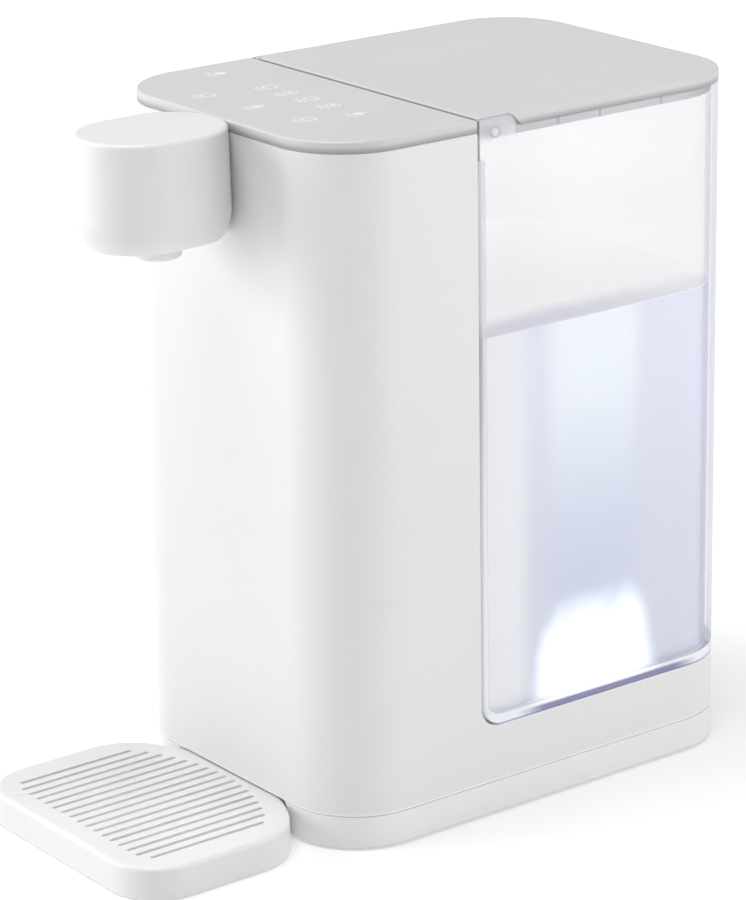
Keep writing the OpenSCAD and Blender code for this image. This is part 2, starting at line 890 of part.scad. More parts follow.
// Pump lying on its side: head with two ports, motor behind it
module pump() {
    color(motor_grey) place() difference() {
        union() {
            along_y([-pump_x, pump_front, works_z]) cylinder(h = pump_head_l, r = pump_r);
            along_y([-pump_x, pump_front + pump_head_l, works_z]) cylinder(h = pump_l, r = motor_r);
            along_y([-pump_x, pump_front + pump_head_l + pump_l, works_z])
                cylinder(h = pump_end_l, r = pump_end_r);
            for (x = port_x) along_y([-x, hose_y, works_z]) cylinder(h = pump_port + over, r = hose_r);
        }
        for (x = port_x) along_y([-x, hose_y - over, works_z])
            cylinder(h = over + pump_port + port_deep, r = hose_bore);
    }
}

// Two soft saddles under the pump motor
module pump_mount() {
    color(rubber) place() for (y = [saddle_in, pump_l - saddle_in - saddle_l]) difference() {
        translate([-pump_x - motor_r, pump_front + pump_head_l + y, pan_top])
            cube([2 * motor_r, saddle_l, works_z - pan_top - saddle_drop]);
        along_y([-pump_x, pump_front + pump_head_l, works_z]) cylinder(h = pump_l, r = motor_r + fit);
    }
}

// Hose from the dock under the tank to the pump
module inlet_hose() {
    x = port_x[1];
    color(hose_white) place() {
        along_y([0, run_y + hose_bend, works_z]) tube(hose_y - run_y - hose_bend);
        bend([-hose_bend, run_y + hose_bend, works_z], [0, 0, 0], -90);
        along_x([hose_bend - x, run_y, works_z]) tube(x - 2 * hose_bend);
        bend([hose_bend - x, run_y + hose_bend, works_z], [0, 0, 0], 180);
        along_y([-x, run_y + hose_bend, works_z]) tube(hose_y - run_y - hose_bend);
    }
}

// Hose from the pump forward and up to the heater
module pump_hose() {
    color(hose_white) place() {
        along_y([-heater_x, heater_y + hose_bend, works_z]) tube(hose_y - heater_y - hose_bend);
        bend([-heater_x, heater_y + hose_bend, works_z + hose_bend], [90, 0, 90], 180);
        translate([-heater_x, heater_y, works_z + hose_bend]) tube(heater_low - works_z - hose_bend);
    }
}

module power_stands() {
    for (x = power_x, y = power_y) translate([x, y, foot_h]) cylinder(h = wall + board_stand, r = stand_r);
}

module power_board() {
    e = stand_edge;
    z = pan_top + board_stand;
    color(board_green) place() {
        translate([power_x[0] - e, power_y[0] - e, z]) cube([power_w + 2 * e, power_d + 2 * e, board_t]);
        translate([power_x[0] + e, power_y[0] + e, z + board_t]) cube(coil_size);
        for (i = [0, 1]) translate([power_x[1] - relay_size[0], power_y[0] + e + i * relay_step, z + board_t])
            cube(relay_size);
        for (i = [1, 2]) translate([power_x[1] - i * can_step, power_y[1] - e, z + board_t])
            cylinder(h = can_h, r = can_r);
    }
}

// Cup under the deck that the tank valve drops into, with a port for the hose
module dock_seat() {
    color(white) place() translate([0, valve_y, 0]) difference() {
        union() {
            translate([0, 0, cup_z]) cylinder(h = deck_z - cup_z, r = cup_r);
            translate([0, 0, deck_under - dock_flange_t])
                cylinder(h = dock_flange_t, r = cup_r + dock_flange);
            along_y([0, hose_y - valve_y, works_z]) cylinder(h = valve_y - hose_y, r = hose_r);
        }
        translate([0, 0, cup_floor]) cylinder(h = deck_z, r = cup_bore);
        translate([0, 0, seal_z]) cylinder(h = deck_z, r = seal_r + fit);
        along_y([0, hose_y - valve_y - over, works_z]) cylinder(h = valve_y - hose_y, r = hose_bore);
    }
}

module dock_seal() {
    color(seal_grey) place() translate([0, valve_y, 0]) rotate_extrude() polygon([
        [seal_bore, seal_z + seal_t],
        [seal_bore, seal_z + seal_t / 2],
        [cup_bore + seal_lip, seal_z],
        [seal_r, seal_z],
        [seal_r, seal_z + seal_t],
    ]);
}

// Post that pushes the valve open when the tank stands on its dock
module dock_pin() {
    color(white) place() translate([0, valve_y, 0]) rotate_extrude() polygon([
        [0, cup_floor],
        [pin_foot_r, cup_floor],
        [pin_foot_r, cup_floor + pin_foot_t],
        [stem_r, cup_floor + pin_foot_t],
        [stem_r, stem_z - fit],
        [0, stem_z - fit],
    ]);
}

module tank_lamp() {
    color([0.80, 0.88, 1.0]) place() translate([0, lamp_y, 0]) {
        translate([0, 0, deck_under - lamp_flange_t]) cylinder(h = lamp_flange_t, r = lamp_r + lamp_flange);
        translate([0, 0, deck_under]) cylinder(h = deck_t, r = lamp_r);
    }
}

// Clear tank: flush with the body, low front wall, two ears for the lid pins
module tank_shell() {
    color(clear) place() difference() {
        union() {
            difference() {
                intersection() {
                    rise(tank_z, tank_top) tank_plan();
                    across(-body_w, body_w) tank_side(0, body_h);
                }
                intersection() {
                    rise(tank_floor, body_h + over) tank_plan(tank_wall);
                    across(-body_w, body_w) tank_side(tank_wall, body_h + 2 * over);
                }
                translate([tank_wall - body_w / 2, tank_front - over, lip_z])
                    cube([body_w - 2 * tank_wall, tank_wall + 2 * over, body_h]);
            }
            sides() across(body_w / 2 - tank_wall, body_w / 2) ear_side();
        }
        sides() along_x([body_w / 2 - tank_wall - over, pin_y, pin_z])
            cylinder(h = tank_wall + 2 * over, r = pin_r + pin_play);
        translate([0, valve_y, tank_z - over]) cylinder(h = tank_wall + 2 * over, r = sleeve_r + fit);
    }
}

// Outlet valve of the tank: nose below, sleeve through the floor, cage with windows above
module valve_body() {
    flange = tank_floor + flange_t;
    color(white) place() translate([0, valve_y, 0]) difference() {
        rotate_extrude() polygon([
            [throat_r + throat_step, nose_z],
            [nose_r_valve, nose_z],
            [nose_r_valve, tank_z],
            [sleeve_r, tank_z],
            [sleeve_r, tank_floor],
            [sleeve_r + flange_out, tank_floor],
            [sleeve_r + flange_out, flange],
            [cage_r, flange],
            [cage_r, cage_top],
            [stem_r + run, cage_top],
            [stem_r + run, cage_top - cage_cap],
            [cage_bore, cage_top - cage_cap],
            [cage_bore, seat_z],
            [throat_r, seat_z],
            [throat_r, tank_floor - throat_deep],
            [throat_r + throat_step, tank_floor - throat_deep],
        ]);
        for (a = [30, 150, 270]) rotate(a) translate([0, -window_w / 2, flange + window_edge])
            cube([cage_r + over, window_w, cage_top - cage_cap - flange - 2 * window_edge]);
    }
}

// Coil spring that closes the valve
spring_sides = 6;
spring_rings = 8 * spring_turns;
function spring_at(i) = [
    spring_r * cos(360 * spring_turns * i / spring_rings),
    spring_r * sin(360 * spring_turns * i / spring_rings),
    spring_z + (spring_top - spring_z) * i / spring_rings,
];
function spring_ring(i) = let (a = 360 * spring_turns * i / spring_rings, c = spring_at(i)) [
    for (k = [0 : spring_sides - 1]) let (b = 360 * k / spring_sides)
        c + spring_wire * [cos(b) * cos(a), cos(b) * sin(a), sin(b)]
];
spring_gap = min([
    for (i = [0 : spring_rings], j = [0 : spring_rings])
        if (j - i > 4) norm(spring_at(i) - spring_at(j)) - 2 * spring_wire
]);
echo(spring_gap = spring_gap);

module valve_spring() {
    n = spring_sides;
    points = [for (i = [0 : spring_rings]) each spring_ring(i)];
    last = spring_rings * n;
    faces = [
        [for (k = [0 : n - 1]) k],
        [for (k = [0 : n - 1]) last + n - 1 - k],
        for (i = [0 : spring_rings - 1], k = [0 : n - 1]) each [
            [i * n + k, (i + 1) * n + k, (i + 1) * n + (k + 1) % n],
            [i * n + k, (i + 1) * n + (k + 1) % n, i * n + (k + 1) % n],
        ],
    ];
    color(steel) place() translate([0, valve_y, 0]) polyhedron(points = points, faces = faces);
}

module valve_plunger() {
    tip = cage_top + valve_stroke + tip_out;
    color(white) place() translate([0, valve_y, 0]) rotate_extrude() polygon([
        [0, stem_z],
        [stem_r, stem_z],
        [stem_r, disc_z],
        [disc_r, disc_z],
        [disc_r, disc_z + disc_t],
        [stem_r, disc_z + disc_t],
        [stem_r, tip],
        [0, tip],
    ]);
}

module valve_seal() {
    color(seal_grey) place() translate([0, valve_y, washer_z]) difference() {
        cylinder(h = washer_t, r = disc_r);
        translate([0, 0, -over]) cylinder(h = washer_t + 2 * over, r = stem_r + fit / 2);
    }
}

// Grey lid, notched round the ears and rounded along its edges
module lid_panel() {
    color(grey) place() difference() {
        rise(cap_z, body_h) round_plan(body_w, lid_front, body_d, tank_edge_r, rear_r);
        rear_rim(body_h, cap_edge_r);
        sides() across(lug_x, body_w / 2 + over) ear_side(run, over);
        across(-body_w, body_w) difference() {
            translate([lid_front - over, body_h - nose_r]) square([nose_r + over, nose_r + over]);
            translate([lid_front + nose_r, body_h - nose_r]) circle(nose_r);
        }
        sides() along_x([lug_x - lug_w - over, pin_y, pin_z])
            cylinder(h = lug_w + 2 * over, r = pin_r + fit);
    }
}

function rib_y() = [for (k = [1, 2, 3.5]) skirt_front + k * rib_step];

// Clear frame under the lid: skirt, ribs on its outside and the two hinge lugs
module lid_liner() {
    low = cap_z - skirt_h;
    inset = tank_wall + run;
    color(clear) place() difference() {
        union() {
            rise(low, cap_z) difference() {
                intersection() {
                    body_plan(inset);
                    translate([-body_w, skirt_front]) square([2 * body_w, body_d]);
                }
                intersection() {
                    body_plan(inset + skirt_t);
                    translate([-body_w, skirt_front + skirt_t]) square([2 * body_w, body_d]);
                }
            }
            for (y = rib_y()) if (y < body_d - rear_r) sides()
                translate([lug_x - over, y - rib_t / 2, low]) cube([over + run / 2, rib_t, skirt_h]);
            sides() {
                translate([lug_x - lug_w, pin_y, low]) cube([lug_w, skirt_front + skirt_t - pin_y, skirt_h]);
                intersection() {
                    along_x([lug_x - lug_w, pin_y, pin_z]) cylinder(h = lug_w, r = lug_r);
                    translate([0, 0, cap_z - 2 * lug_r]) cube([body_w, body_d, 2 * lug_r]);
                }
            }
        }
        sides() along_x([lug_x - lug_w - over, pin_y, pin_z])
            cylinder(h = lug_w + 2 * over, r = pin_r + pin_play);
    }
}

module lid_hinge_pins() {
    color(clear) place() sides() along_x([lug_x - lug_w, pin_y, pin_z])
        cylinder(h = lug_w + run + tank_wall - pin_short, r = pin_r);
}

// Slotted cover of the drip tray, its skirt hides the pan
module drip_cover() {
    color(white) place() difference() {
        rise(tray_z, tray_h) tray_plan();
        tray_rim(tray_h, tray_edge_r);
        rise(tray_z - over, tray_h - cover_t) tray_plan(cover_wall);
        for (i = [0 : slot_n - 1]) {
            x = (i - (slot_n - 1) / 2) * slot_pitch;
            y0 = slot_front(x) + slot_w / 2;
            y1 = slot_rear(x) - slot_w / 2;
            translate([x - slot_w / 2, y0, tray_h - cover_t - over])
                cube([slot_w, y1 - y0, cover_t + 2 * over]);
            for (y = [y0, y1]) translate([x, y, tray_h - cover_t - over])
                cylinder(h = cover_t + 2 * over, r = slot_w / 2, $fn = 24);
        }
    }
}

module drip_pan() {
    color(white) place() difference() {
        rise(tray_z, tray_h - cover_t - fit) tray_plan(pan_inset);
        rise(tray_z + pan_floor, tray_h) tray_plan(pan_inset + cover_wall);
    }
}

main_housing();
base_pan();
feet();
base_screws();
cord_gland();
tank_cradle();
top_panel();
touch_board();
spout_head();
spout_floor();
spout_neck();
spout_nut();
nozzle();
outlet_pipe();
heater();
heater_brackets();
thermostats();
pump();
pump_mount();
inlet_hose();
pump_hose();
power_board();
dock_seat();
dock_seal();
dock_pin();
tank_lamp();
tank_shell();
valve_body();
valve_spring();
valve_plunger();
valve_seal();
lid_panel();
lid_liner();
lid_hinge_pins();
drip_cover();
drip_pan();
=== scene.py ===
"""Looks of a countertop hot water dispenser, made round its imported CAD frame."""

import math
from collections import Counter

import bpy
from mathutils import Matrix, Vector


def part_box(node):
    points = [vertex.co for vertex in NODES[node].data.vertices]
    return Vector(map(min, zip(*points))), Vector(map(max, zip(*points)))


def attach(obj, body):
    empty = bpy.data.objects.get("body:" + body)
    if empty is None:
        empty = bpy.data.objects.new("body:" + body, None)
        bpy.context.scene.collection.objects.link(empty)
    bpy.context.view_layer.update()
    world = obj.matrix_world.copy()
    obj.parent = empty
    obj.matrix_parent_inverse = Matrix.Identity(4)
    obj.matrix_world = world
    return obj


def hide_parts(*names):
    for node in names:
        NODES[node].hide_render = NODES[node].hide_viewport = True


bl_info = {
    "name": "Hot water dispenser",
    "version": (1, 0, 0),
    "blender": (4, 5, 0),
    "location": "3D View > Sidebar > Dispenser",
    "description": "Softened mouldings, clear tank with water, touch marks, finishes and a stage",
    "category": "Object",
}

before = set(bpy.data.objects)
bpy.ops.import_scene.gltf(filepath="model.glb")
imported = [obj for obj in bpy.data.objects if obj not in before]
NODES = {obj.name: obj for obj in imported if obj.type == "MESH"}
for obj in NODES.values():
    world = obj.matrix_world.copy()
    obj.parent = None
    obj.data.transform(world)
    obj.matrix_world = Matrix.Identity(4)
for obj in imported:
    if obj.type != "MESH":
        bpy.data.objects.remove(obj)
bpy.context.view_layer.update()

MM = 0.001
# Distance within which a point counts as lying at a place
NEAR = 0.05 * MM
# Distance within which the corners of loose triangles are merged
WELD = 0.001 * MM
# Angle between two faces below which they become one
FLAT = math.radians(0.2)
# Angle between two faces above which their edge is sharp
SHARP = math.radians(40)
# Number of faces across a softened edge
ROUND_STEPS = 3

TANK_LOW, TANK_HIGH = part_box("tank_shell")
LINER_LOW, LINER_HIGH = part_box("lid_liner")
PIN_LOW, PIN_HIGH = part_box("lid_hinge_pins")
LAMP_LOW, LAMP_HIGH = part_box("tank_lamp")
TRAY_LOW, TRAY_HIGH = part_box("drip_cover")
PAN_LOW, PAN_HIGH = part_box("base_pan")
PANEL_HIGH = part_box("top_panel")[1]
LID_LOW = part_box("lid_panel")[0]
HEAD_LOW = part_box("spout_head")[0]
SHELL_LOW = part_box("main_housing")[0]
PIN = (PIN_LOW + PIN_HIGH) / 2
LAMP = (LAMP_LOW + LAMP_HIGH) / 2
TRAY = (TRAY_LOW + TRAY_HIGH) / 2

# Height at which the ears stand on the tank's front, and half the blur of that border
EAR_FOOT = 293 * MM
EAR_BLUR = 0.3 * MM
# Height of the middle of the joint between the housing and the base
JOINT_Z = PAN_HIGH.z + 0.25 * MM
# Height above the base from which all edges of the housing are softened
BASE_CLEAR = 12 * MM
# Half the width and half the length of the field of slots in the tray
SLOT_REACH = 52 * MM
SLOT_RUN = 41 * MM
# Where the tray's rear corners begin, from the middle line and from its rear
CORNER_SIDE = 47 * MM
CORNER_DEPTH = 20 * MM

BLACK = (0.0, 0.0, 0.0)
# Painted light: paler white inside the joint above the base and inside the slots, standing in for
# light that reaches into them
JOINT_PAINTED_LIGHT = (0.98, 0.98, 0.975)
SLOT_PAINTED_LIGHT = (0.97, 0.955, 0.945)
# Painted light: the base is a little paler than the housing, lifting the shade near the floor
BASE_PAINTED_LIGHT = 1.07
# Clear plastic along the outline of the ears and on the ribs, and painted shade along the top of the
# lid's skirt
EDGE_GREY = (0.30, 0.30, 0.36)

# The touch marks: kind and place on the panel, in millimetres across and along
TOUCH_MARKS = (
    ("drop", -62.5, -22.0),
    ("ring", -26.9, -22.0),
    ("dot", -12.1, -22.0),
    ("ring", 2.4, -22.0),
    ("dot", 17.9, -22.0),
    ("drop", 37.4, -22.0),
    ("ring", -31.9, -51.0),
    ("drop", -1.0, -46.5),
    ("ring", 31.5, -44.5),
)
# Factor on distances inside a touch mark: less than one draws it larger
MARK_SHRINK = 0.8

# The soft lights: name, place, size and the stage value that holds the power
SOFT_LIGHTS = (
    ("front_softbox", (-1.75, -2.20, 0.80), 1.6, "key"),
    ("side_softbox", (0.85, 0.60, 0.30), 0.55, "side"),
    ("top_softbox", (0.0, -0.50, 4.00), 2.5, "top"),
)
# Point that the soft lights face
LIGHT_AIM = (0.0, 0.02, 0.15)
FLOOR_SIZE = 16.0
# The floor's own light, under the part and far from it, and the distances between which it changes
FLOOR_DIM, FLOOR_BRIGHT = (0.28, 0.28, 0.28), (0.5, 0.5, 0.5)
FLOOR_NEAR, FLOOR_FAR = 0.4, 1.8
# Width of the camera's frame in millimetres, and how far it sees in metres
FRAME_WIDTH = 36.0
SIGHT = 60.0


class DispenserSizes(bpy.types.PropertyGroup):
    """Sizes of the softened edges, the tank's wall and the water"""

    edge: bpy.props.FloatProperty(
        name="Moulded edge",
        description="Radius of an ordinary moulded edge",
        default=0.5 * MM,
        subtype="DISTANCE",
        unit="LENGTH",
    )
    tank_wall: bpy.props.FloatProperty(
        name="Tank wall",
        description="Thickness of the tank wall round the water",
        default=3.0 * MM,
        subtype="DISTANCE",
        unit="LENGTH",
    )
    tank_corner: bpy.props.FloatProperty(
        name="Tank corner",
        description="Radius of the tank's lower front corner",
        default=10.0 * MM,
        subtype="DISTANCE",
        unit="LENGTH",
    )
    water_level: bpy.props.FloatProperty(
        name="Water level",
        description="Height of the water above the table",
        default=0.2155,
        subtype="DISTANCE",
        unit="LENGTH",
    )
    water_gap: bpy.props.FloatProperty(
        name="Water gap",
        description="Film of air between the water and the tank wall",
        default=0.25 * MM,
        subtype="DISTANCE",
        unit="LENGTH",
    )


class DispenserColours(bpy.types.PropertyGroup):
    """Colours of the finishes"""

    shell: bpy.props.FloatVectorProperty(
        name="White shell",
        description="Moulded white plastic",
        default=(0.765, 0.762, 0.766),
        size=3,
        subtype="COLOR",
        min=0,
        max=1,
    )
    panel: bpy.props.FloatVectorProperty(
        name="Grey panel",
        description="Touch panel and lid",
        default=(0.612, 0.611, 0.616),
        size=3,
        subtype="COLOR",
        min=0,
        max=1,
    )
    mark: bpy.props.FloatVectorProperty(
        name="Touch marks",
        description="Printed marks",
        default=(0.9, 0.9, 0.9),
        size=3,
        subtype="COLOR",
        min=0,
        max=1,
    )
    tank: bpy.props.FloatVectorProperty(
        name="Tank",
        description="Clear tank plastic",
        default=(0.79, 0.795, 0.835),
        size=3,
        subtype="COLOR",
        min=0,
        max=1,
    )
    liner: bpy.props.FloatVectorProperty(
        name="Liner",
        description="Clear plastic where walls lie close together",
        default=(0.74, 0.74, 0.785),
        size=3,
        subtype="COLOR",
        min=0,
        max=1,
    )
    tank_edge: bpy.props.FloatVectorProperty(
        name="Tank edge",
        description="Clear plastic seen edge on",
        default=(0.30, 0.30, 0.52),
        size=3,
        subtype="COLOR",
        min=0,
        max=1,
    )
    water: bpy.props.FloatVectorProperty(
        name="Water",
        description="Water away from the lamp",
        default=(0.78, 0.805, 0.93),
        size=3,
        subtype="COLOR",
        min=0,
        max=1,
    )
    glow: bpy.props.FloatVectorProperty(
        name="Glow",
        description="Light in the water above the lamp",
        default=(0.90, 0.95, 1.0),
        size=3,
        subtype="COLOR",
        min=0,
        max=1,
    )


class DispenserStage(bpy.types.PropertyGroup):
    """Camera, floor and lights"""

    eye: bpy.props.FloatVectorProperty(
        name="Camera place",
        description="Where the camera stands",
        default=(1.2658, -0.9417, 0.6730),
        size=3,
        subtype="TRANSLATION",
        unit="LENGTH",
    )
    aim: bpy.props.FloatVectorProperty(
        name="Camera aim",
        description="Point that the camera looks at",
        default=(-0.0197, 0.0270, 0.1391),
        size=3,
        subtype="TRANSLATION",
        unit="LENGTH",
    )
    roll: bpy.props.FloatProperty(
        name="Camera roll",
        description="Turn of the camera about its own axis",
        default=math.radians(-0.94),
        subtype="ANGLE",
        unit="ROTATION",
    )
    lens: bpy.props.FloatProperty(
        name="Lens",
        description="Focal length in millimetres, for a frame 36 mm wide",
        default=152.36,
        min=20,
        max=400,
    )
    sky: bpy.props.FloatProperty(
        name="Sky",
        description="Strength of the even light from all round",
        default=0.3,
        min=0,
        max=4,
    )
    key: bpy.props.FloatProperty(
        name="Front light",
        description="Power of the soft light in front",
        default=44.0,
        min=0,
        max=500,
        unit="POWER",
    )
    side: bpy.props.FloatProperty(
        name="Side light",
        description="Power of the soft light beside the tank",
        default=3.1,
        min=0,
        max=500,
        unit="POWER",
    )
    top: bpy.props.FloatProperty(
        name="Top light",
        description="Power of the soft light overhead",
        default=128.0,
        min=0,
        max=500,
        unit="POWER",
    )
    floor: bpy.props.FloatVectorProperty(
        name="Floor",
        description="Pale floor",
        default=(0.7, 0.7, 0.7),
        size=3,
        subtype="COLOR",
        min=0,
        max=1,
    )


class DispenserLook(bpy.types.PropertyGroup):
    """All that a user may change"""

    sizes: bpy.props.PointerProperty(type=DispenserSizes)
    colours: bpy.props.PointerProperty(type=DispenserColours)
    stage: bpy.props.PointerProperty(type=DispenserStage)


class Wire:
    """An output of a shader node that takes part in Python sums."""

    def __init__(self, finish, socket):
        self.finish = finish
        self.socket = socket

    def sum(self, operation, first, second):
        return self.finish.node("Math", {"operation": operation}, {0: first, 1: second})

    def __add__(self, other):
        return self.sum("ADD", self, other)

    def __radd__(self, other):
        return self.sum("ADD", other, self)

    def __sub__(self, other):
        return self.sum("SUBTRACT", self, other)

    def __rsub__(self, other):
        return self.sum("SUBTRACT", other, self)

    def __mul__(self, other):
        return self.sum("MULTIPLY", self, other)

    def __rmul__(self, other):
        return self.sum("MULTIPLY", other, self)

    def __abs__(self):
        return self.sum("ABSOLUTE", self, 0.0)

    def least(self, other):
        return self.sum("MINIMUM", self, other)

    def most(self, other):
        return self.sum("MAXIMUM", self, other)


class Finish:
    """A material in the making: one Principled shader fed by nodes."""

    def __init__(self, name, **constants):
        self.material = bpy.data.materials.new(name)
        self.material.use_nodes = True
        self.tree = self.material.node_tree
        self.tree.nodes.clear()
        self.shader = self.tree.nodes.new("ShaderNodeBsdfPrincipled")
        out = self.tree.nodes.new("ShaderNodeOutputMaterial")
        self.tree.links.new(self.shader.outputs[0], out.inputs["Surface"])
        self.set(**constants)

    def feed(self, socket, value):
        """Links a wire to a socket, or sets the socket to a value."""
        if isinstance(value, Wire):
            self.tree.links.new(value.socket, socket)
        elif socket.type == "RGBA" and len(value) == 3:
            socket.default_value = (*value, 1.0)
        else:
            socket.default_value = value

    def set(self, **values):
        """Feeds sockets of the shader, named in lower case with underscores."""
        for name, value in values.items():
            title = name.replace("_", " ").title().replace("Ior", "IOR")
            self.feed(self.shader.inputs[title], value)

    def node(self, kind, settings=None, sockets=None, out=0):
        """Adds a node, sets it, feeds its sockets and gives one of its outputs."""
        made = self.tree.nodes.new("ShaderNode" + kind)
        for name, value in (settings or {}).items():
            setattr(made, name, value)
        for name, value in (sockets or {}).items():
            self.feed(made.inputs[name], value)
        return Wire(self, made.outputs[out])

    def place(self):
        """Object coordinates."""
        return self.node("TexCoord", out="Object")

    def axes(self, at):
        """The x, y and z of a place."""
        return [self.node("SeparateXYZ", None, {0: at}, axis) for axis in "XYZ"]

    def length(self, vector):
        """Length of a vector."""
        return self.node("VectorMath", {"operation": "LENGTH"}, {0: vector}, "Value")

    def radius(self, first, second):
        """Distance from the origin of a plane."""
        return self.length(self.node("CombineXYZ", None, {0: first, 1: second}))

    def noise(self, at, scale, detail=2.0, stretch=None):
        """Soft noise, with its scale in cells per metre."""
        if stretch:
            at = self.node("Mapping", None, {"Vector": at, "Scale": stretch})
        return self.node("TexNoise", None, {"Vector": at, "Scale": scale, "Detail": detail})

    def ease(self, value, low, high, at_low=0.0, at_high=1.0):
        """A smooth step from one level to another."""
        return self.node(
            "MapRange",
            {"interpolation_type": "SMOOTHSTEP"},
            {"Value": value, "From Min": low, "From Max": high, "To Min": at_low, "To Max": at_high},
        )

    def fall(self, value, low, high, top=1.0):
        """A smooth step down to nothing."""
        return self.ease(value, low, high, top, 0.0)

    def mix(self, share, first, second):
        """Colour between two colours."""
        return self.node("Mix", {"data_type": "RGBA"}, {0: share, 6: first, 7: second}, 2)

    def bump(self, height, depth, strength):
        """Small relief on the surface."""
        sockets = {"Strength": strength, "Distance": depth, "Height": height}
        self.set(normal=self.node("Bump", None, sockets))


def shade(colour, share):
    """A colour made darker or lighter by one factor."""
    return tuple(min(1.0, c * share) for c in colour)


def white_moulding(colours, name="white_moulding", tone=1.0, slotted=False):
    """White shell plastic.

    It has the satin skin of the mould and faint flow clouds, and is a little darker towards the
    bottom. Painted light makes it paler inside the joint above the base and inside the slots of a
    slotted piece, and a tone above one paints it paler.
    """
    f = Finish(name, ior=1.47, specular_ior_level=0.42)
    at = f.place()
    x, y, z = f.axes(at)
    cloud = f.noise(at, scale=11.0, detail=3.0)
    skin = f.noise(at, scale=2400.0)
    # A tone above one paints the piece paler, as painted light
    base = f.mix(cloud, shade(colours.shell, 0.975 * tone), shade(colours.shell, 1.02 * tone))
    # A little darker towards the bottom
    low_darkening = f.fall(z, 0.0, 30 * MM) * 0.06
    base = f.mix(low_darkening, base, shade(colours.shell, 0.86))
    # Painted light: paler inside the joint above the base
    joint = f.fall(abs(z - JOINT_Z), 0.2 * MM, 0.3 * MM, 0.7)
    base = f.mix(joint, base, JOINT_PAINTED_LIGHT)
    # Painted light: paler inside the slots of the tray
    if slotted:
        field = f.fall(abs(x), SLOT_REACH, SLOT_REACH + MM)
        field = field * f.fall(abs(y - TRAY.y), SLOT_RUN, SLOT_RUN + MM)
        below = f.fall(z, TRAY_HIGH.z - 0.5 * MM, TRAY_HIGH.z - 0.2 * MM)
        base = f.mix(field * below, base, SLOT_PAINTED_LIGHT)
    f.set(base_color=base)
    f.set(roughness=0.30 + 0.10 * cloud + 0.06 * skin)
    f.bump(skin, 0.012 * MM, 0.5)
    return f.material


def inner_moulding():
    """Duller natural plastic of the pieces inside"""
    f = Finish("inner_moulding", ior=1.47)
    at = f.place()
    cloud = f.noise(at, scale=40.0, detail=3.0)
    skin = f.noise(at, scale=1500.0)
    f.set(base_color=f.mix(cloud, (0.80, 0.80, 0.785), (0.87, 0.87, 0.86)))
    f.set(roughness=0.42 + 0.15 * skin)
    f.bump(skin, 0.02 * MM, 0.5)
    return f.material


def grey_lacquer(name, colours, marks=()):
    """Grey touch panel and lid.

    A fine silk lacquer with paler flecks painted in as a faint glint, with painted shade along its
    lower edge and in the joint between panel and lid, and with printed touch marks where there are
    any.
    """
    f = Finish(name, ior=1.48, specular_ior_level=0.45)
    at = f.place()
    x, y, z = f.axes(at)
    cloud = f.noise(at, scale=14.0, detail=3.0)
    silk = f.noise(at, scale=3200.0, detail=1.0)
    base = f.mix(cloud, shade(colours.panel, 0.975), shade(colours.panel, 1.025))
    # Painted glint: paler flecks in the colour
    painted_sparkle = f.ease(silk, 0.62, 0.75) * 0.35
    base = f.mix(painted_sparkle, base, shade(colours.panel, 1.12))
    # Painted shade along the lower edge and in the joint between panel and lid
    under = f.fall(z, LID_LOW.z, LID_LOW.z + 3.5 * MM, 0.65)
    joint = f.fall(y, LID_LOW.y + 0.35 * MM, LID_LOW.y + 0.85 * MM, 0.9)
    joint = joint * f.ease(y, LID_LOW.y - 1.3 * MM, LID_LOW.y - 0.7 * MM)
    base = f.mix(under.most(joint), base, shade(colours.panel, 0.3))
    ink = 0.0
    for kind, across, along in marks:
        u, v = MARK_SHRINK * (x - across * MM), MARK_SHRINK * (y - along * MM)
        ink = touch_mark(f, u, v, kind) + ink
    if marks:
        upward = f.ease(z, PANEL_HIGH.z - 0.3 * MM, PANEL_HIGH.z - 0.1 * MM)
        base = f.mix(ink.least(1.0) * upward * (0.55 + 0.2 * cloud), base, colours.mark)
    f.set(base_color=base)
    f.set(roughness=0.34 + 0.08 * cloud + 0.08 * silk)
    f.bump(silk, 0.01 * MM, 0.5)
    return f.material


def touch_mark(f, x, y, kind):
    """Share of ink in one touch mark: a ring, a dot or a drop over two short bars"""
    blur = 0.12 * MM
    middle = 2.2 * MM
    belly = 1.6 * MM

    def inside(distance):
        return f.fall(distance, -blur, blur)

    def disc(along, radius):
        return f.radius(x, y - along) - radius

    def bar(along, half_width):
        half_height = 0.35 * MM
        return (abs(x) - half_width).most(abs(y - along) - half_height)

    circle = disc(middle, 2.4 * MM)
    if kind == "ring":
        sign = abs(circle) - 0.4 * MM
    elif kind == "drop":
        tip = abs(x) + 0.45 * (y - belly) - 1.55 * MM
        sign = disc(belly, 1.7 * MM).least(tip).most(disc(2.4 * MM, 3.0 * MM))
    else:
        sign = disc(middle, 1.2 * MM).least(abs(circle) - 0.25 * MM)
    return inside(sign) + inside(bar(-1.9 * MM, 3.2 * MM)) + inside(bar(-3.3 * MM, 2.0 * MM))


